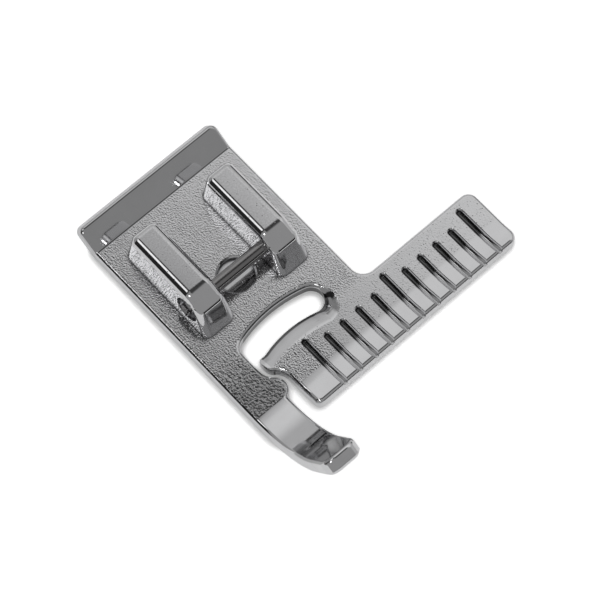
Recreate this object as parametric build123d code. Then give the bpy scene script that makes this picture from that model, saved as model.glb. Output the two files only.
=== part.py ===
from build123d import *
import math
import os

os.makedirs("parts", exist_ok=True)

# Sewing machine presser foot with a measuring arm, in millimetres.
# The origin lies on the sole, straight below the snap pin on the needle line.
# +X runs along the measuring arm, +Y to the rear and +Z up.

# Sole plate, seen from above
plate_thickness = 2.0
plate_width = 21.5
sole_edge_bevel = 0.4
top_edge_radius = 0.5

# Rear lip: the plate bends up behind the lugs
lip_bend_y = 13.45
lip_bend_radius = 0.4
lip_angle = 33.5
lip_length = 3.4
lip_corner_radius = 0.9

# Front curl: the toe and the front of the arm bend up with one radius
curl_start_y = -15.0
curl_radius = 10.8
curl_angle = 58.0
toe_tip_length = 5.0
toe_width = 4.9
toe_corner_radius = 1.6
toe_gap_corner = 0.4

# Measuring arm
arm_rear_y = -10.0
arm_front_y = -18.75
arm_left_x = -3.93
arm_tip_x = 28.25
arm_tip_corner = 1.3
arm_left_corner = 0.8
arm_root_radius = 1.8

# Measuring grooves on the arm's top
groove_count = 11
groove_pitch = 2.5
groove_start_x = 0.25
groove_width = 0.8
groove_depth = 0.5
groove_floor_width = 0.36
groove_lip = 0.1
groove_rear_y = -12.3
long_groove_rear_y = -11.1
long_groove_every = 5

# Needle slot: a bean shape, with a long slope up to the arm on its front side
slot_half_length = 6.15
slot_rear_y = -5.62
slot_rear_radius = 18.0
slot_width = 3.28
slot_land = 1.35
slope_ease = 0.25
slope_turn = 0.46
slope_over = 1.2
slope_insets = (0.6, 0.3, 0.1)
slope_head_y = -11.1
slope_head_radius = 18.0
slope_side_y = -9.0
slope_flare = 0.85
tongue_tip_radius = 0.5

# Thread channel, from the slot's left end to the gap beside the toe
channel_width = 0.8
channel_bend_y = -10.6
channel_bend_length = 3.0

# Lugs
lug_gap_base = 7.26
lug_gap_top = 7.8
lug_width_base = 16.44
lug_width_top = 15.6
lug_height = 5.4
lug_rear_base_y = 11.1
lug_rear_top_y = 10.4
lug_flat_front_y = 0.2
lug_nose_y = -2.25
lug_nose_drop = 1.4
lug_front_base_y = -3.8
lug_top_radius = 1.0
lug_front_corner = 1.0
lug_rear_corner = 1.0
lug_nose_blend = 2.0

# Snap pin, its holes and the clearance pocket below it
pin_diameter = 1.75
pin_height = 2.6
pin_clearance = 0.02
pin_recess_diameter = 3.4
pin_recess_depth = 0.7
pin_stand_out = 0.3
pin_chamfer = 0.2
pocket_diameter = 4.6
pocket_depth = 0.7
pocket_y = 0.35
pocket_edge_bevel = 0.2

# Values worked out from the sizes above
half_width = plate_width / 2
toe_right_x = toe_width - half_width
channel_front_x = arm_left_x - channel_width / 2
channel_rear_x = channel_width / 2 - slot_half_length
pin_z = plate_thickness + pin_height
lug_top_z = plate_thickness + lug_height
reach = 2 * (arm_tip_x + abs(arm_front_y) + lip_bend_y)


def corner(sketch, x, y):
    return sketch.vertices().sort_by_distance((x, y, 0))[0]


# The plate's side view at one depth below its top face, from the toe's tip to the rear lip
def bent_path(depth):
    level = plate_thickness - depth
    flat = Line((curl_start_y, level), (lip_bend_y, level))
    curl = JernArc(flat @ 0, (-1, 0), curl_radius + depth, -curl_angle)
    tip = Line(curl @ 1, curl @ 1 + (curl % 1) * toe_tip_length)
    bend = JernArc(flat @ 1, (1, 0), lip_bend_radius + depth, lip_angle)
    lip = Line(bend @ 1, bend @ 1 + (bend % 1) * lip_length)
    return [tip, curl, flat, bend, lip]


# Everything between two depths of the bent plate, as wide as the whole foot and more
def bent_layer(upper_depth, lower_depth):
    upper = bent_path(upper_depth)
    lower = bent_path(lower_depth)
    toe_end = Line(upper[0] @ 1, lower[0] @ 1)
    lip_end = Line(upper[-1] @ 1, lower[-1] @ 1)
    side = make_face(upper + lower + [toe_end, lip_end])
    return extrude(Plane.YZ * side, reach, both=True)


def box_face(x_from, x_to, y_from, y_to):
    return Pos((x_from + x_to) / 2, (y_from + y_to) / 2) * Rectangle(x_to - x_from, y_to - y_from)


# The foot from above, before the slot, the channel and the grooves are cut
def plan_outline():
    plate = box_face(-half_width, half_width, arm_front_y, reach)
    arm = box_face(arm_left_x, arm_tip_x, arm_front_y, arm_rear_y)
    toe = box_face(-half_width, toe_right_x, -reach, arm_front_y)
    bend_end_y = channel_bend_y - channel_bend_length
    bulge_radius = s_radius() - channel_width / 2
    bulge_x = channel_front_x - s_radius()
    gap = box_face(toe_right_x, arm_left_x, -reach, bend_end_y)
    gap -= Pos(bulge_x, bend_end_y) * Circle(bulge_radius)
    outline = plate + arm + toe - gap
    for x, y, radius in (
        (half_width, arm_rear_y, arm_root_radius),
        (arm_tip_x, arm_rear_y, arm_tip_corner),
        (arm_tip_x, arm_front_y, arm_tip_corner),
        (arm_left_x, arm_front_y, arm_left_corner),
        (toe_right_x, bend_end_y - bulge_radius, toe_gap_corner),
    ):
        outline = fillet(corner(outline, x, y), radius)
    return outline


# Radius of the two equal arcs that make the channel's S bend
def s_radius():
    offset = channel_front_x - channel_rear_x
    return (offset ** 2 + channel_bend_length ** 2) / (4 * offset)


# The thread channel from above: out of the slot's left end, through the S bend and into the gap
def channel_outline():
    turn = math.degrees(2 * math.atan2(channel_front_x - channel_rear_x, channel_bend_length))
    entry = Line((channel_rear_x, slot_end_centre().Y), (channel_rear_x, channel_bend_y))
    first = JernArc(entry @ 1, (0, -1), s_radius(), turn)
    second = JernArc(first @ 1, first % 1, s_radius(), -turn)
    leaving = Line(second @ 1, second @ 1 - (0, s_radius()))
    return trace([entry, first, second, leaving], channel_width)


# A point on an arc about the needle slot's centre, at an angle from the needle line
def slot_point(radius, angle):
    return Vector(radius * math.sin(angle), slot_rear_y - slot_rear_radius + radius * math.cos(angle))


# Angle from the needle line to the middle of each rounded slot end
def slot_end_angle():
    return math.asin((slot_half_length - slot_width / 2) / (slot_rear_radius - slot_width / 2))


# Middle of the slot's rounded right end
def slot_end_centre():
    return slot_point(slot_rear_radius - slot_width / 2, slot_end_angle())


# Tip of the slot's rounded right end
def slot_end_tip():
    angle = slot_end_angle()
    return slot_end_centre() + Vector(math.cos(angle), -math.sin(angle)) * slot_width / 2


def left(point):
    return Vector(-point.X, point.Y)


# The needle slot from above: two arcs about one centre, with rounded ends
def slot_outline():
    angle = slot_end_angle()
    front_radius = slot_rear_radius - slot_width
    rear_corner = slot_point(slot_rear_radius, angle)
    front_corner = slot_point(front_radius, angle)
    rear = ThreePointArc(left(rear_corner), slot_point(slot_rear_radius, 0), rear_corner)
    right_end = ThreePointArc(rear_corner, slot_end_tip(), front_corner)
    front = ThreePointArc(front_corner, slot_point(front_radius, 0), left(front_corner))
    left_end = ThreePointArc(left(front_corner), left(slot_end_tip()), left(rear_corner))
    return make_face([rear, right_end, front, left_end])


# Slot and channel in one, with the tip of the tongue between them rounded
def opening_outline():
    outline = slot_outline() + channel_outline()
    return fillet(corner(outline, *tongue_tip()), tongue_tip_radius)


# Where the channel's right wall meets the slot's left end
def tongue_tip():
    x = channel_rear_x + channel_width / 2
    centre = left(slot_end_centre())
    return x, centre.Y - math.sqrt((slot_width / 2) ** 2 - (x - centre.X) ** 2)


# True where every corner of a face lies on the bent plate at one depth below its top
def lies_at(face, depth):
    path = Wire(bent_path(depth))
    return all(path.distance_to(Vertex(v.Y, v.Z, 0)) < 1e-4 for v in face.vertices())


# The edges that go round the outside of the bent plate at one depth
def rim_edges(solid, depth):
    edges = [e for face in solid.faces() if lies_at(face, depth) for e in face.edges()]
    return [e for e in edges if edges.count(e) == 1]


# The two short edges at one end of the bent plate, where its corners are rounded
def end_corners(solid, end):
    upper = bent_path(0)[end] @ 1
    lower = bent_path(plate_thickness)[end] @ 1
    middle = (upper + lower) / 2
    spots = [(x, middle.X, middle.Y) for x in (-half_width, toe_right_x if end == 0 else half_width)]
    return [solid.edges().sort_by_distance(spot)[0] for spot in spots]


def plate_blank():
    outline = plan_outline() - opening_outline()
    solid = extrude(outline, reach, both=True) & bent_layer(0, plate_thickness)
    solid = fillet(end_corners(solid, 0), toe_corner_radius)
    solid = fillet(end_corners(solid, -1), lip_corner_radius)
    solid = fillet(rim_edges(solid, 0), top_edge_radius)
    return chamfer(rim_edges(solid, plate_thickness), sole_edge_bevel)


# A point on the curved head of the slope, at a distance from the needle line
def slope_head(x):
    centre_y = slope_head_y - slope_head_radius
    return Vector(x, centre_y + math.sqrt(slope_head_radius ** 2 - x ** 2))


# A point on the line between two others, at a share of the way that may lie past the second
def along(first, second, share):
    return first + (second - first) * share


# What is cut off round the slot's right end and its front: a flare that turns into the tongue's slope.
# Both run a little past the slot's edge and the plate's top, so that they cut through them.
def tongue_slope():
    angle = slot_end_angle()
    front_radius = slot_rear_radius - slot_width
    start = Vector(channel_rear_x, slot_end_centre().Y)
    low = [
        slot_end_tip(),
        slot_point(front_radius, angle),
        slot_point(front_radius, 0),
        left(slot_point(front_radius, angle)),
        Vector(channel_rear_x, tongue_tip()[1]),
    ]
    high = [
        Vector(slot_half_length + slope_flare, slope_side_y),
        slope_head(slot_end_centre().X),
        slope_head(0),
        slope_head(-low[1].X),
        slope_head(channel_rear_x),
    ]
    turn = [along(a, b, slope_turn) for a, b in zip(low, high)]
    turn_z = plate_thickness - slope_ease
    leaving = (math.cos(angle), -math.sin(angle))
    sections = []
    for inset, share, level, points in (
        (slope_insets[0], slope_over, slot_land, low),
        (slope_insets[1], 0, turn_z, turn),
        (slope_insets[2], slope_over, plate_thickness, high),
    ):
        side, right, front, bend, tip = [along(a, b, share) if share else b for a, b in zip(turn, points)]
        flare = TangentArc(slot_point(slot_rear_radius - inset, angle), side, tangent=leaving)
        outline = [
            Line(start, flare @ 0),
            flare,
            TangentArc(side, right, tangent=flare % 1),
            ThreePointArc(right, front, bend),
            Line(bend, tip),
            Line(tip, start),
        ]
        z = turn_z + (level - turn_z) * (share or 1)
        sections.append(Pos(0, 0, z) * make_face(outline))
    return loft(sections, ruled=True)


# The upright edges of a lug, either at its front or at its rear
def lug_corners(solid, at_front):
    base = solid.faces().sort_by(Axis.Z)[0]
    upright = [e for e in solid.edges() if sum(v in base.vertices() for v in e.vertices()) == 1]
    return [e for e in upright if (e.center().Y < base.center().Y) == at_front]


# One lug: a drafted section along Y, cut to its side view, with a sloping nose at the front
def lug():
    section = Polyline(
        (lug_gap_base / 2, plate_thickness),
        (lug_gap_top / 2, lug_top_z),
        (lug_width_top / 2, lug_top_z),
        (lug_width_base / 2, plate_thickness),
        close=True,
    )
    side = Polyline(
        (lug_front_base_y, plate_thickness),
        (lug_nose_y, lug_top_z - lug_nose_drop),
        (lug_flat_front_y, lug_top_z),
        (lug_rear_top_y, lug_top_z),
        (lug_rear_base_y, plate_thickness),
        close=True,
    )
    along_y = extrude(Plane.XZ * make_face(section), reach, both=True)
    along_x = extrude(Plane.YZ * make_face(side), reach, both=True)
    solid = along_y & along_x
    crease = solid.edges().filter_by(Axis.X).sort_by_distance((lug_gap_top, lug_flat_front_y, lug_top_z))[0]
    solid = fillet(crease, lug_nose_blend)
    solid = fillet(lug_corners(solid, True), lug_front_corner)
    solid = fillet(lug_corners(solid, False), lug_rear_corner)
    base = solid.faces().sort_by(Axis.Z)[0]
    walls = [f for f in solid.faces() if any(e in base.edges() for e in f.edges())]
    edges = [e for f in solid.faces() if f not in walls for e in f.edges()]
    return fillet([e for e in edges if edges.count(e) == 1], lug_top_radius)


# Distance of the lugs' outer sides from the middle, at the height of the pin
def lug_side_x():
    return (lug_width_base + (lug_width_top - lug_width_base) * pin_height / lug_height) / 2


def pin_rod(diameter, length):
    return Pos(0, 0, pin_z) * Rot(0, 90, 0) * Cylinder(diameter / 2, length)


# Hole for the pin through both lugs, with a round recess at each outer side
def pin_hole():
    seat = lug_side_x() - pin_recess_depth
    recess = pin_rod(pin_recess_diameter, 2 * lug_width_base) - pin_rod(2 * pin_recess_diameter, 2 * seat)
    return recess + pin_rod(pin_diameter + pin_clearance, lug_width_base)


def pin_pocket():
    return Pos(0, pocket_y, plate_thickness) * Cylinder(pocket_diameter / 2, 2 * pocket_depth)


# Half of a groove's section from the top down: a bevelled lip, a steep wall and a narrow floor
def groove_half_section():
    half = groove_width / 2
    return [
        (0, groove_lip),
        (half + 2 * groove_lip, groove_lip),
        (half, -groove_lip),
        (groove_floor_width / 2, -groove_depth),
        (0, -groove_depth),
    ]


# One measuring groove, along the bent top of the arm and out through its front edge
def groove(x, rear_y):
    curl, flat = bent_path(0)[1:3]
    start = Vector(rear_y - groove_width / 2, plate_thickness)
    path = Plane.YZ.offset(x) * Wire([Line(start, flat @ 0), curl])
    half = make_face(Polyline(*groove_half_section(), close=True))
    section = Plane(path @ 0, x_dir=(1, 0, 0), z_dir=path % 0)
    rear_end = revolve(section * half, Axis(path @ 0, (0, 0, 1)))
    return rear_end + sweep(section * (half + mirror(half, Plane.YZ)), path=path)


def groove_rear(number):
    return groove_rear_y if number % long_groove_every else long_groove_rear_y


right_lug = lug()
foot = plate_blank() - tongue_slope() + right_lug + mirror(right_lug, Plane.YZ)
foot -= pin_hole() + pin_pocket()
for number in range(groove_count):
    foot -= groove(groove_start_x + number * groove_pitch, groove_rear(number))
pocket_rim = foot.edges().sort_by_distance((0, pocket_y + pocket_diameter / 2, plate_thickness))[0]
foot = chamfer(pocket_rim, pocket_edge_bevel)
export_step(foot, "parts/foot.step")

snap_pin = pin_rod(pin_diameter, 2 * (lug_side_x() - pin_recess_depth + pin_stand_out))
snap_pin = chamfer(snap_pin.edges().filter_by(GeomType.CIRCLE), pin_chamfer)
export_step(snap_pin, "parts/snap_pin.step")
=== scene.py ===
import math

import bmesh
import bpy
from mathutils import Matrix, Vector


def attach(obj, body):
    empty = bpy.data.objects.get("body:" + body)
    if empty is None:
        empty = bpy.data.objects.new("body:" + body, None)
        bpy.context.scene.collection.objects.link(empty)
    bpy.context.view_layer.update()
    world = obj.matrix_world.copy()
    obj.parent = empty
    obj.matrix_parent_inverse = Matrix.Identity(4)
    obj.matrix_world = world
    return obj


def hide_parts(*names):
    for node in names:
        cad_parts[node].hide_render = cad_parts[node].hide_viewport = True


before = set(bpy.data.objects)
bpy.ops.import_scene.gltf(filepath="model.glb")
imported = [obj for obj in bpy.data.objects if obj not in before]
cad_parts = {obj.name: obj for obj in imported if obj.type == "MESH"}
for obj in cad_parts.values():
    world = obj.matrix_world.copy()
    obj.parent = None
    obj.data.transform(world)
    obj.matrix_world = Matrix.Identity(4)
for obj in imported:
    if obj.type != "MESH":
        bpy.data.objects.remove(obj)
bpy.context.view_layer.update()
scene = bpy.context.scene
scene.view_settings.view_transform = "Standard"
print("frame loaded:", sorted(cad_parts))

mm = 0.001
layout = {"perRow": 10, "width": 200, "height": 320}   # how the nodes of a tree are laid out


# Small helpers for node trees
def addNode(tree, kind, settings=None, inputs=None):
    row, column = divmod(len(tree.nodes), layout["perRow"])
    node = tree.nodes.new(kind)
    node.location = (column * layout["width"], -row * layout["height"])
    for name, value in (settings or {}).items():
        setattr(node, name, value)
    for name, value in (inputs or {}).items():
        if isinstance(value, bpy.types.NodeSocket):
            tree.links.new(value, node.inputs[name])
        else:
            node.inputs[name].default_value = value
    return node


def mathOf(tree, operation, first, *others):
    settings = {"operation": operation}
    if not others:
        return addNode(tree, "ShaderNodeMath", settings, {0: first}).outputs[0]
    for other in others:
        first = addNode(tree, "ShaderNodeMath", settings, {0: first, 1: other}).outputs[0]
    return first


def allOf(tree, *masks):
    return mathOf(tree, "MULTIPLY", *masks)


def anyOf(tree, *masks):
    return mathOf(tree, "MAXIMUM", *masks)


def rampOf(tree, value, low, high, lowOut=0.0, highOut=1.0):
    return addNode(tree, "ShaderNodeMapRange", {"interpolation_type": "SMOOTHSTEP"},
                   {"Value": value, "From Min": low, "From Max": high,
                    "To Min": lowOut, "To Max": highOut}).outputs["Result"]


def fallOf(tree, value, low, high):
    return rampOf(tree, value, low, high, 1.0, 0.0)


# A mix node has its own pair of sockets for each kind of value, so they go by number
def blendOf(tree, share, first, second):
    return addNode(tree, "ShaderNodeMix", {"data_type": "FLOAT"},
                   {"Factor": share, 2: first, 3: second}).outputs[0]


def colourBlend(tree, share, first, second):
    return addNode(tree, "ShaderNodeMix", {"data_type": "RGBA"},
                   {"Factor": share, 6: first, 7: second}).outputs[2]


def scaleOf(tree, vector, scale):
    return addNode(tree, "ShaderNodeVectorMath", {"operation": "SCALE"},
                   {0: vector, "Scale": scale}).outputs[0]


def dotOf(tree, first, second):
    return addNode(tree, "ShaderNodeVectorMath", {"operation": "DOT_PRODUCT"},
                   {0: first, 1: second}).outputs["Value"]


def axesOf(tree, vector):
    return addNode(tree, "ShaderNodeSeparateXYZ", inputs={0: vector}).outputs


def noiseOf(tree, place, scale, detail=2.0, roughness=0.5):
    return addNode(tree, "ShaderNodeTexNoise", inputs={
        "Vector": place, "Scale": scale, "Detail": detail, "Roughness": roughness}).outputs["Fac"]


def cellsOf(tree, place, scale):
    return addNode(tree, "ShaderNodeTexVoronoi", inputs={"Vector": place, "Scale": scale}).outputs


def bumpOf(tree, height, depth, others=None):
    inputs = {"Height": height, "Distance": depth * mm}
    inputs.update(others or {})
    return addNode(tree, "ShaderNodeBump", inputs=inputs).outputs[0]


# 1 from full to fade, falling to 0 at start and end
def spanMask(tree, value, start, full, fade, end):
    return allOf(tree, rampOf(tree, value, start, full), fallOf(tree, value, fade, end))


# 1 in a layer about a level, all in mm
def layerMask(tree, value, level, soft=0.1, half=0.02):
    return spanMask(tree, value, level - soft - half, level - half, level + half, level + soft + half)


def newMaterial(name):
    material = bpy.data.materials.new(name)
    material.use_nodes = True
    material.node_tree.nodes.clear()
    return material, material.node_tree


def newGroup(name, inputs, outputs):
    group = bpy.data.node_groups.new(name, "ShaderNodeTree")
    for label, kind, value in inputs:
        socket = group.interface.new_socket(name=label, in_out="INPUT", socket_type=kind)
        if value is not None:
            socket.default_value = value
    for label, kind in outputs:
        group.interface.new_socket(name=label, in_out="OUTPUT", socket_type=kind)
    return group, addNode(group, "NodeGroupInput"), addNode(group, "NodeGroupOutput")


finish = {
    "noiseMiddle": 0.5,      # a noise swings about this value
    "cloudDetail": 3.0,
    "cloudRoughness": 0.6,
    "hazeScale": 5.0,        # per mm
    "hazeDetail": 4.0,
    "hazeRange": (0.35, 0.75),
}


# Tone and roughness of a plated surface, with soft clouds and a fine haze
def platingGroup():
    group, given, result = newGroup(
        "platingTone",
        [("Coordinates", "NodeSocketVector", None), ("Tone", "NodeSocketColor", (0.7, 0.7, 0.7, 1)),
         ("Cloud Size", "NodeSocketFloat", 3.0), ("Cloud Depth", "NodeSocketFloat", 0.06),
         ("Gloss", "NodeSocketFloat", 0.1), ("Haze", "NodeSocketFloat", 0.05)],
        [("Tone", "NodeSocketColor"), ("Roughness", "NodeSocketFloat")])
    place = given.outputs["Coordinates"]
    cloudScale = mathOf(group, "DIVIDE", 1.0, given.outputs["Cloud Size"])
    cloud = noiseOf(group, place, cloudScale, finish["cloudDetail"], finish["cloudRoughness"])
    swing = mathOf(group, "SUBTRACT", cloud, finish["noiseMiddle"])
    lift = mathOf(group, "MULTIPLY", swing, given.outputs["Cloud Depth"], 2.0)   # half either way becomes one
    tone = scaleOf(group, given.outputs["Tone"], mathOf(group, "ADD", lift, 1.0))
    haze = noiseOf(group, place, finish["hazeScale"], finish["hazeDetail"])
    spread = mathOf(group, "MULTIPLY", rampOf(group, haze, *finish["hazeRange"]), given.outputs["Haze"])
    group.links.new(tone, result.inputs["Tone"])
    group.links.new(mathOf(group, "ADD", given.outputs["Gloss"], spread), result.inputs["Roughness"])
    return group


plating = platingGroup()


def placeInMm(tree):
    return scaleOf(tree, addNode(tree, "ShaderNodeTexCoord").outputs["Object"], 1.0 / mm)


def platingOf(tree, place, piece):
    return addNode(tree, "ShaderNodeGroup", {"node_tree": plating}, {
        "Coordinates": place, "Tone": piece["tone"], "Cloud Size": piece["cloudSize"],
        "Gloss": piece["gloss"], "Haze": piece["haze"]}).outputs


def metalOut(tree, colour, roughness, normal):
    shader = addNode(tree, "ShaderNodeBsdfPrincipled", inputs={
        "Metallic": 1.0, "Base Color": colour, "Roughness": roughness, "Normal": normal})
    addNode(tree, "ShaderNodeOutputMaterial", inputs={"Surface": shader.outputs[0]})


print("shared finishes built")

skin = {
    "weldReach": 1e-7,       # m, corners this close are one
    "nearlyFlat": 0.4,       # degrees, a bend smaller than this doesn't end a flat stretch
}


# Area of the flat stretch that each face belongs to, found by walking over edges that hardly bend
def stretchAreas(shape):
    nearlyFlat = math.radians(skin["nearlyFlat"])
    areas = {}
    for seed in shape.faces:
        if seed in areas:
            continue
        found, waiting = {seed}, [seed]
        while waiting:
            for edge in waiting.pop().edges:
                if edge.calc_face_angle(0) < nearlyFlat:
                    fresh = [face for face in edge.link_faces if face not in found]
                    found.update(fresh)
                    waiting.extend(fresh)
        total = sum(face.calc_area() for face in found)
        areas.update((face, total) for face in found)
    return areas


# Normal of a face at one corner, from the faces that join it smoothly there. Large flat ones count most
def cornerNormal(corner, areas):
    found, waiting = {corner.face}, [corner.face]
    while waiting:
        for edge in waiting.pop().edges:
            if edge.smooth and corner.vert in edge.verts:
                fresh = [face for face in edge.link_faces if face not in found]
                found.update(fresh)
                waiting.extend(fresh)
    total = Vector()
    for face in found:
        angle = next(loop.calc_angle() for loop in face.loops if loop.vert == corner.vert)
        total += face.normal * (areas[face] * angle)
    return total.normalized()


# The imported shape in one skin, shaded smooth over its roundings and crisp at its edges
def platedCopy(node, name, isSoft):
    shape = bmesh.new()
    shape.from_mesh(node.data)
    bmesh.ops.remove_doubles(shape, verts=shape.verts, dist=skin["weldReach"])
    shape.normal_update()
    areas = stretchAreas(shape)
    for edge in shape.edges:
        edge.smooth = isSoft(edge, areas)
    normals = []
    for face in shape.faces:
        face.smooth = True
        normals.extend(cornerNormal(corner, areas) for corner in face.loops)
    mesh = bpy.data.meshes.new(name)
    shape.to_mesh(mesh)
    shape.free()
    mesh.normals_split_custom_set(normals)
    piece = bpy.data.objects.new(name, mesh)
    scene.collection.objects.link(piece)
    return piece


# Lengths and places are in mm. A pair gives where a mask starts to change and where it has changed,
# and four values give where it starts, is full, fades and ends
foot = {
    # the plating
    "tone": (0.72, 0.72, 0.73, 1),
    "cloudSize": 3.0,
    "gloss": 0.06,
    "haze": 0.05,
    "recessShadeTone": (0.12, 0.12, 0.125, 1),   # painted shade, darker in recesses
    "recessReach": 0.6,            # how far a recess darkens its sides
    "recessOpen": (0.42, 0.93),    # share of open space round a point
    "recessSamples": 6,
    # share of the tone that is left at each place: painted shade, but for the lugs' side specks, which are a
    # pattern
    "shadeAndSpeckShares": {
        # painted shade in the pits
        "pit": 0.35,
        "lugTop": 0.86,            # painted shade on the lugs' flat tops
        "crease": 0.4,             # painted shade where the lip bends up
        # painted shade on the bent lip
        "lip": 0.82,
        "groove": 0.22,            # painted shade deep in a groove's flat stretch
        # painted shade on the toe's coarse flat
        "toe": 0.52,
        "sideSpeck": 0.12,         # specks as cast on the lugs' sides
        # painted shade on the lugs' rear faces
        "lugRear": 0.7,
        "slope": 0.78,             # painted shade on the slope from the tongue into the slot
        # painted shade along the slope's low edge
        "slopeEdgeShade": 0.25,
        "edge": 0.3,               # painted shade right at a crisp edge
        "upright": 0.55,           # painted shade on the toe's upright end
    },
    # where the shape lies
    "plateTop": 2.0,               # height of the plate's top
    "lugTop": 7.4,                 # height of the lugs' flat tops
    "curlStart": -15.0,            # where the toe starts to bend up
    "curlBlend": 0.1,
    "curlRadius": 10.8,
    "lipStart": 13.45,             # where the lip starts to bend up
    "lipBlend": 0.3,
    "creaseSoft": 0.07,
    "creaseHalf": 0.03,
    "creaseHeight": (1.8, 1.9),
    "lugSides": (8.0, 3.76),       # from the middle to the lugs' outer and inner sides
    "lugSideHalf": 0.28,           # half the room that a leaning side takes up
    "lugSideHeights": (2.15, 2.4, 6.4, 6.7),
    "lugSideStretch": (-2.4, -1.6, 11.0, 11.4),
    "lugRear": 10.75,              # middle of the lugs' rear faces
    "lugRearHalf": 0.4,
    "slopeMiddle": (1.2, -8.4),
    "slopeHalf": (6.0, 3.4),
    "slopeHigh": (1.88, 1.97),
    "slopeLow": (1.46, 1.53),
    "uprightStart": (-21.9, -21.4),
    "uprightTurn": (0.35, 0.5),    # how far the upright end faces the rear
    "edgeRound": 0.07,             # rounds the edges that the plating has softened
    "edgeSamples": 6,
    "edgeLikeness": (0.90, 0.995),   # of the rounded and the plain normal
    # the grooves
    "groovePitch": 2.5,
    "grooveStart": 0.25,           # middle of the first groove
    "grooveMargin": 1.0,           # how far the first groove reaches to the left
    "grooveReach": 0.7,            # how wide and how deep a groove's own faces may lie
    "grooveSkim": 0.01,            # faces less deep than this are the arm's top
    "grooveRear": -10.5,
    "grooveFront": -18.3,
    "grooveHalf": (0.6, 0.7),
    "grooveLeft": (-0.9, -0.8),
    "grooveHeights": (1.2, 1.3, 1.7, 1.84),
    "grooveStretch": (-15.9, -14.7, -10.5, -10.4),
    # the grain
    "pebbleSize": 0.20,
    "pebbleHeight": 0.032,
    "pebbleDetail": 1.0,
    "coarseSize": 0.34,            # on the toe
    "coarseHeight": 2.4,           # times the pebbles' height
    "coarseDetail": 1.5,
    "coarseRoughness": 0.6,
    "coarseFade": (-12.0, -5.0),   # towards the rear
    "coarseRight": (-5.6, -4.6),
    "speckSpacing": 0.28,          # hard little specks in the pebbled skin
    "speckHeight": 0.036,
    "speckShare": 0.7,             # share of places that hold one
    "speckRound": (0.05, 0.32),
    "plateGrain": 0.55,            # how much of the toe's grain is left behind the slot
    "plateFade": (-11.0, -4.0),
    "armGrain": 0.18,              # and out on the arm
    "armStart": (-1.0, 3.0),
    "armRear": (-10.5, -8.5),
    "sideGrain": 0.03,             # and on the lugs' sides
    "sideSpeckSpacing": (0.36, 0.6, 0.36),   # drawn out along the lugs
    "sideSpeckRim": (0.63, 0.70),
    "raggedScale": 2.3,
    "raggedShare": 0.9,            # how far the side specks' rims are frayed
    "toneGrain": 0.66,             # how far the tone changes from grain to grain
    "toneDetail": 2.0,
    "toneRoughness": 0.7,
    "pitSpacing": 0.62,
    "pitRim": (0.03, 0.14),
    "pitDepth": 0.02,
    "pitStrength": 0.5,
    # shading: bends that stay smooth, in degrees
    "sharpAngle": 32.0,
    "plateArea": 60.0,             # mm2, a flat stretch larger than this is the plate's own
    "plateSoft": 9.5,
    "grooveSoft": 75.0,            # the grooves are rounded in section
    "toeTip": -23.5,               # in front of here the toe's edges are well rounded
    "toeSoft": 32.0,
}


# Depth of a point below the arm's bent top, and its distance from the nearest groove's middle, in mm
def grooveDistance(point):
    x, y, z = point / mm
    top = foot["plateTop"]
    if y < foot["curlStart"]:
        radius = foot["curlRadius"]
        top += radius - math.sqrt(radius ** 2 - (y - foot["curlStart"]) ** 2)
    pitch = foot["groovePitch"]
    step = (x - foot["grooveStart"]) / pitch
    return top - z, abs(step - round(step)) * pitch


def inGroove(face):
    middle = face.calc_center_median()
    if not foot["grooveFront"] < middle.y / mm < foot["grooveRear"]:
        return False
    if middle.x / mm < foot["grooveStart"] - foot["grooveMargin"]:
        return False
    depth, aside = grooveDistance(middle)
    return foot["grooveSkim"] < depth < foot["grooveReach"] and aside < foot["grooveReach"]


def softOnFoot(edge, areas):
    angle = math.degrees(edge.calc_face_angle(0))
    if all(inGroove(face) for face in edge.link_faces):
        return angle < foot["grooveSoft"]
    if all(face.calc_center_median().y < foot["toeTip"] * mm for face in edge.link_faces):
        return angle < foot["toeSoft"]
    if max(areas[face] for face in edge.link_faces) > foot["plateArea"] * mm ** 2:
        return angle < foot["plateSoft"]
    return angle < foot["sharpAngle"]


# The pebbled skin lies on the flat top only.
# It is coarse on the toe, finer behind the slot and nearly smooth on the arm
def topMasks(tree, axes):
    curl, lip = foot["curlStart"], foot["lipStart"]
    stretch = spanMask(tree, axes["Y"], curl - foot["curlBlend"], curl + foot["curlBlend"],
                       lip - foot["lipBlend"], lip)
    flat = allOf(tree, layerMask(tree, axes["Z"], foot["plateTop"]), stretch)
    onArm = allOf(tree, rampOf(tree, axes["X"], *foot["armStart"]), fallOf(tree, axes["Y"], *foot["armRear"]))
    alongPlate = rampOf(tree, axes["Y"], *foot["plateFade"], 1.0, foot["plateGrain"])
    grainy = allOf(tree, flat, blendOf(tree, onArm, alongPlate, foot["armGrain"]))
    # onToe carries the toe's coarse ripples and its painted shade
    onToe = allOf(tree, flat, fallOf(tree, axes["Y"], *foot["coarseFade"]),
                  fallOf(tree, axes["X"], *foot["coarseRight"]))
    return flat, grainy, onToe


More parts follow.
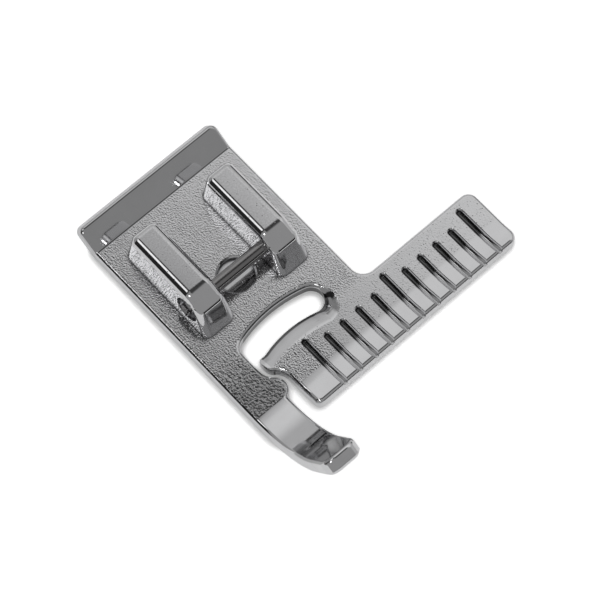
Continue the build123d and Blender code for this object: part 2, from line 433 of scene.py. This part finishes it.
# The lugs' sides and rear faces are as cast, and the sides hold frayed dark specks; the rear faces also get
# painted shade
def lugMasks(tree, place, axes):
    fromMiddle = mathOf(tree, "ABSOLUTE", axes["X"])
    outer, inner = (layerMask(tree, fromMiddle, side, half=foot["lugSideHalf"]) for side in foot["lugSides"])
    upright = spanMask(tree, axes["Z"], *foot["lugSideHeights"])
    sides = allOf(tree, anyOf(tree, outer, inner), spanMask(tree, axes["Y"], *foot["lugSideStretch"]))
    rearFaces = layerMask(tree, axes["Y"], foot["lugRear"], half=foot["lugRearHalf"])
    asCast = allOf(tree, anyOf(tree, sides, rearFaces), upright)
    drawnOut = addNode(tree, "ShaderNodeVectorMath", {"operation": "DIVIDE"},
                       {0: place, 1: foot["sideSpeckSpacing"]}).outputs[0]
    frayed = mathOf(tree, "MULTIPLY", noiseOf(tree, drawnOut, foot["raggedScale"]), foot["raggedShare"])
    rim = mathOf(tree, "ADD", cellsOf(tree, drawnOut, 1.0)["Distance"], frayed)
    specks = allOf(tree, sides, upright, fallOf(tree, rim, *foot["sideSpeckRim"]))
    return asCast, specks, allOf(tree, rearFaces, upright)


# Painted shade on the slope from the tongue into the slot, and along its low edge
def slopeShadeMasks(tree, axes):
    spans = zip(("X", "Y"), foot["slopeMiddle"], foot["slopeHalf"])
    nearSlot = allOf(tree, *(layerMask(tree, axes[axis], middle, half=half) for axis, middle, half in spans))
    return [allOf(tree, nearSlot, fallOf(tree, axes["Z"], *foot[edge])) for edge in ("slopeHigh", "slopeLow")]


# Painted shade deep in the grooves, on the flat stretch before the arm bends down
def grooveShadeMask(tree, axes):
    along = mathOf(tree, "SUBTRACT", axes["X"], foot["grooveStart"])
    aside = mathOf(tree, "PINGPONG", along, foot["groovePitch"] / 2)
    return allOf(tree, fallOf(tree, aside, *foot["grooveHalf"]), rampOf(tree, axes["X"], *foot["grooveLeft"]),
                 spanMask(tree, axes["Z"], *foot["grooveHeights"]),
                 spanMask(tree, axes["Y"], *foot["grooveStretch"]))


# Painted shade on the bent lip, and in the crease it starts from
def lipShadeMasks(tree, axes):
    start = foot["lipStart"]
    line = layerMask(tree, axes["Y"], start, foot["creaseSoft"], foot["creaseHalf"])
    crease = allOf(tree, line, rampOf(tree, axes["Z"], *foot["creaseHeight"]))
    return rampOf(tree, axes["Y"], start, start + foot["lipBlend"]), crease


# Painted shade at crisp edges, where the rounded normal leaves the plain one, and on the toe's upright end
def edgeShadeMasks(tree, axes, rounded):
    facing = addNode(tree, "ShaderNodeNewGeometry").outputs["Normal"]
    edgeShade = fallOf(tree, dotOf(tree, rounded, facing), *foot["edgeLikeness"])
    turnedBack = rampOf(tree, axesOf(tree, facing)["Y"], *foot["uprightTurn"])
    return edgeShade, allOf(tree, fallOf(tree, axes["Y"], *foot["uprightStart"]), turnedBack)


# Pebbles on the plate, coarse ripples on the toe
def pebbleHeights(tree, place, onToe):
    pebble = noiseOf(tree, place, 1.0 / foot["pebbleSize"], foot["pebbleDetail"])
    ripple = noiseOf(tree, place, 1.0 / foot["coarseSize"], foot["coarseDetail"], foot["coarseRoughness"])
    return blendOf(tree, onToe, pebble, mathOf(tree, "MULTIPLY", ripple, foot["coarseHeight"]))


def speckHeights(tree, place):
    cells = cellsOf(tree, place, 1.0 / foot["speckSpacing"])
    pick = addNode(tree, "ShaderNodeSeparateColor", inputs={0: cells["Color"]}).outputs[0]
    return allOf(tree, fallOf(tree, cells["Distance"], *foot["speckRound"]),
                 mathOf(tree, "LESS_THAN", pick, foot["speckShare"]))


# Share of the tone that is left, a little under or over 1 from grain to grain
def grainShade(tree, place, strength):
    grain = noiseOf(tree, place, 1.0 / foot["pebbleSize"], foot["toneDetail"], foot["toneRoughness"])
    swing = mathOf(tree, "SUBTRACT", grain, finish["noiseMiddle"])
    return mathOf(tree, "ADD", mathOf(tree, "MULTIPLY", strength, foot["toneGrain"], swing), 1.0)


def castingMaterial():
    material, tree = newMaterial("platedCasting")
    place = placeInMm(tree)
    axes = axesOf(tree, place)
    tone = platingOf(tree, place, foot)
    # painted shade: recesses darken towards the recess shade tone, by how open each point is
    shelter = addNode(tree, "ShaderNodeAmbientOcclusion",
                      {"samples": foot["recessSamples"], "only_local": True},
                      {"Distance": foot["recessReach"] * mm})
    outsideRecessShade = rampOf(tree, shelter.outputs["AO"], *foot["recessOpen"])
    colour = colourBlend(tree, outsideRecessShade, foot["recessShadeTone"], tone["Tone"])
    rounded = addNode(tree, "ShaderNodeBevel", {"samples": foot["edgeSamples"]},
                      {"Radius": foot["edgeRound"] * mm}).outputs[0]
    flat, grainy, onToe = topMasks(tree, axes)
    asCast, sideSpecks, lugRear = lugMasks(tree, place, axes)
    slopeShade, slopeEdgeShade = slopeShadeMasks(tree, axes)
    lipShade, crease = lipShadeMasks(tree, axes)
    edgeShade, uprightShade = edgeShadeMasks(tree, axes, rounded)
    lugTop = layerMask(tree, axes["Z"], foot["lugTop"])
    pitted = mathOf(tree, "ADD", flat, lugTop)
    pitRim = rampOf(tree, cellsOf(tree, place, 1.0 / foot["pitSpacing"])["Distance"], *foot["pitRim"])
    masks = {
        "pit": allOf(tree, pitted, mathOf(tree, "SUBTRACT", 1.0, pitRim)),
        "lugTop": lugTop, "crease": crease, "lip": lipShade, "groove": grooveShadeMask(tree, axes), "toe": onToe,
        "sideSpeck": sideSpecks, "lugRear": lugRear, "slope": slopeShade, "slopeEdgeShade": slopeEdgeShade,
        "edge": edgeShade, "upright": uprightShade,
    }
    shade = grainShade(tree, place, mathOf(tree, "ADD", grainy, lugTop))
    # each share darkens its place: painted shade, and the dark specks on the lugs' sides
    for name, share in foot["shadeAndSpeckShares"].items():
        shade = mathOf(tree, "MULTIPLY", shade, blendOf(tree, masks[name], 1.0, share))
    normal = bumpOf(tree, pebbleHeights(tree, place, onToe), foot["pebbleHeight"],
                    {"Strength": grainy, "Normal": rounded})
    speckled = mathOf(tree, "ADD", grainy, mathOf(tree, "MULTIPLY", asCast, foot["sideGrain"]))
    normal = bumpOf(tree, speckHeights(tree, place), foot["speckHeight"],
                    {"Strength": speckled, "Normal": normal})
    dented = mathOf(tree, "MULTIPLY", pitted, foot["pitStrength"])
    normal = bumpOf(tree, pitRim, foot["pitDepth"], {"Strength": dented, "Normal": normal})
    metalOut(tree, scaleOf(tree, colour, shade), tone["Roughness"], normal)
    return material


presserFoot = platedCopy(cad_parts["foot"], "presserFoot", softOnFoot)
presserFoot.data.materials.append(castingMaterial())
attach(presserFoot, "root")
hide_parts("foot")
print("foot dressed:", len(presserFoot.data.polygons), "faces")

pin = {
    "tone": (0.30, 0.295, 0.295, 1),
    "cloudSize": 1.5,        # mm
    "gloss": 0.14,
    "haze": 0.06,
    "turningPitch": 0.12,    # mm between turning lines
    "turningDrift": 0.4,     # how fast the lines change round the pin, per mm
    "turningDepth": 0.004,   # mm
    "sharpAngle": 32.0,      # degrees
}


def softOnPin(edge, areas):
    return math.degrees(edge.calc_face_angle(0)) < pin["sharpAngle"]


def pinMaterial():
    material, tree = newMaterial("pinSteel")
    place = placeInMm(tree)
    tone = platingOf(tree, place, pin)
    drift = pin["turningDrift"]
    squeezed = addNode(tree, "ShaderNodeVectorMath", {"operation": "MULTIPLY"},
                       {0: place, 1: (1.0 / pin["turningPitch"], drift, drift)}).outputs[0]
    turning = bumpOf(tree, noiseOf(tree, squeezed, 1.0), pin["turningDepth"])
    metalOut(tree, tone["Tone"], tone["Roughness"], turning)
    return material


snapPin = platedCopy(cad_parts["snap_pin"], "snapPin", softOnPin)
snapPin.data.materials.append(pinMaterial())
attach(snapPin, "root")
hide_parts("snap_pin")
print("pin dressed:", len(snapPin.data.polygons), "faces")

table = {
    "halfWidth": 20.0,       # m
    "drop": 0.01,            # mm below the sole
    "colour": (0.80, 0.80, 0.80, 1),
    "glow": 0.62,            # makes up the white that the light leaves
    "mirrored": 0.3,         # share of the glow that the metal mirrors
    "contactReach": 0.9,     # mm, how far the close shadow goes out from the foot
    "contactOpen": (0.5, 1.0),   # share of open space where that shadow is full, and where it ends
    "contactShare": 0.15,    # what it leaves of the glow
    "contactSamples": 12,
}


def tableMaterial():
    material, tree = newMaterial("tableWhite")
    path = addNode(tree, "ShaderNodeLightPath").outputs
    bounced = anyOf(tree, path["Is Glossy Ray"], path["Is Transmission Ray"])
    seen = anyOf(tree, path["Is Camera Ray"], mathOf(tree, "MULTIPLY", bounced, table["mirrored"]))
    shelter = addNode(tree, "ShaderNodeAmbientOcclusion", {"samples": table["contactSamples"]},
                      {"Distance": table["contactReach"] * mm})
    clear = rampOf(tree, shelter.outputs["AO"], *table["contactOpen"], table["contactShare"], 1.0)
    matt = addNode(tree, "ShaderNodeBsdfDiffuse", inputs={"Color": table["colour"]})
    glow = addNode(tree, "ShaderNodeEmission",
                   inputs={"Strength": mathOf(tree, "MULTIPLY", seen, clear, table["glow"])})
    together = addNode(tree, "ShaderNodeAddShader", inputs={0: matt.outputs[0], 1: glow.outputs[0]})
    addNode(tree, "ShaderNodeOutputMaterial", inputs={"Surface": together.outputs[0]})
    return material


def whiteTable():
    half = table["halfWidth"]
    corners = [(-half, -half, 0), (half, -half, 0), (half, half, 0), (-half, half, 0)]
    mesh = bpy.data.meshes.new("table")
    mesh.from_pydata(corners, [], [(0, 1, 2, 3)])
    board = bpy.data.objects.new("table", mesh)
    board.location.z = -table["drop"] * mm
    scene.collection.objects.link(board)
    mesh.materials.append(tableMaterial())


whiteTable()

lamp = {
    "from": (-0.286, -0.317, 1.0),
    "distance": 1.0,         # m
    "size": 0.25,            # m
    "power": 2.6,            # W
}


def tableLamp():
    data = bpy.data.lights.new("tableLamp", "AREA")
    data.shape = "DISK"
    data.size = lamp["size"]
    data.energy = lamp["power"]
    light = bpy.data.objects.new("tableLamp", data)
    light.location = Vector(lamp["from"]).normalized() * lamp["distance"]
    light.rotation_euler = light.location.to_track_quat("Z", "Y").to_euler()
    light.visible_glossy = False
    scene.collection.objects.link(light)


tableLamp()

# What the metal mirrors: zones of light, by how far a ray leans in a direction and how high it points.
# A pair gives where a zone starts and where it is full
studio = {
    "front": 0.32,           # the room on the camera's side
    "gap": 0.06,             # dark gap overhead, where the camera looks in
    "rear": 0.72,            # soft light behind and to the right
    "rearEdge": 0.52,        # the same light towards its left edge
    "rearFade": 0.68,        # what is left of it low down
    "low": 0.02,             # dark room low in front, on the left and on the right
    "leftCard": 1.4,         # white card up on the left
    "spot": 14.0,            # small lamp up on the left, which only the rounded corners catch
    "right": (1, 0, 0),
    "behind": (0, 1, 0),
    "gapHeight": (0.72, 0.88),
    "gapBehind": (0.06, 0.2),
    "gapFront": (-0.35, -0.1),
    "gapAcross": (0.16, 0.48),
    "rearFrom": (0.9, 0.44, 0),
    "rearStart": (0.302, 0.362),
    "rearFull": (0.36, 0.42),
    "rearHeight": (0.42, 0.72),
    "cardFrom": (-0.94, 0.34, 0),
    "cardStart": (0.20, 0.27),
    "cardBehind": (0.278, 0.296),
    "cardHeight": (0.77, 0.84),
    "spotFrom": (-0.6, -0.2, 0.77),
    "spotStart": (0.9962, 0.9982),
    "bandSoft": 0.12,        # how softly a band ends
    "lowZones": (            # direction, lean, the band that limits it, height
        ((0, -1, 0), (0.3, 0.5), "right", (-0.12, 0.48), (0.32, 0.46)),
        ((-1, 0, 0), (0.2, 0.4), "behind", (0.20, 0.50), (0.84, 0.89)),
        ((1, -0.3, 0), (0.65, 0.8), "behind", (0.20, 0.50), (0.25, 0.40)),
    ),
}


def studioLight():
    world = bpy.data.worlds.new("studio")
    scene.world = world
    world.use_nodes = True
    tree = world.node_tree
    tree.nodes.clear()
    ray = addNode(tree, "ShaderNodeTexCoord").outputs["Generated"]
    height = axesOf(tree, ray)["Z"]

    def toward(direction, start, full):
        return rampOf(tree, dotOf(tree, ray, direction), start, full)

    def band(direction, low, high):
        soft = studio["bandSoft"]
        past = toward(direction, high, high + soft)
        return allOf(tree, toward(direction, low - soft, low), mathOf(tree, "SUBTRACT", 1.0, past))

    overhead = allOf(tree, band(studio["right"], *studio["gapAcross"]),
                     toward(studio["behind"], *studio["gapFront"]))
    gap = allOf(tree, rampOf(tree, height, *studio["gapHeight"]),
                anyOf(tree, toward(studio["behind"], *studio["gapBehind"]), overhead))
    light = blendOf(tree, gap, studio["front"], studio["gap"])
    rearFull = toward(studio["rearFrom"], *studio["rearFull"])
    rearLight = mathOf(tree, "MULTIPLY", blendOf(tree, rearFull, studio["rearEdge"], studio["rear"]),
                       rampOf(tree, height, *studio["rearHeight"], studio["rearFade"], 1.0))
    light = blendOf(tree, toward(studio["rearFrom"], *studio["rearStart"]), light, rearLight)
    low = [allOf(tree, toward(direction, *lean), band(studio[across], *limits), fallOf(tree, height, *top))
           for direction, lean, across, limits, top in studio["lowZones"]]
    light = blendOf(tree, anyOf(tree, *low), light, studio["low"])
    card = allOf(tree, toward(studio["cardFrom"], *studio["cardStart"]),
                 toward(studio["behind"], *studio["cardBehind"]),
                 rampOf(tree, height, *studio["cardHeight"]))
    light = blendOf(tree, card, light, studio["leftCard"])
    spot = toward(Vector(studio["spotFrom"]).normalized(), *studio["spotStart"])
    light = blendOf(tree, spot, light, studio["spot"])
    dome = addNode(tree, "ShaderNodeBackground", inputs={"Color": light, "Strength": 1.0})
    addNode(tree, "ShaderNodeOutputWorld", inputs={"Surface": dome.outputs[0]})


studioLight()
print("table and light set")

view = {
    "place": (-86.985, -107.162, 317.512),   # mm
    "look": (0.2634, 0.2919, -0.9195),
    "lens": 174.58,          # mm
    "sensor": 36.0,          # mm
    "clipStart": 0.02,       # m
}


def viewCamera():
    data = bpy.data.cameras.new("view")
    data.sensor_width = view["sensor"]
    data.lens = view["lens"]
    data.clip_start = view["clipStart"]
    camera = bpy.data.objects.new("view", data)
    camera.location = Vector(view["place"]) * mm
    camera.rotation_euler = Vector(view["look"]).to_track_quat("-Z", "Y").to_euler()
    scene.collection.objects.link(camera)
    scene.camera = camera


viewCamera()
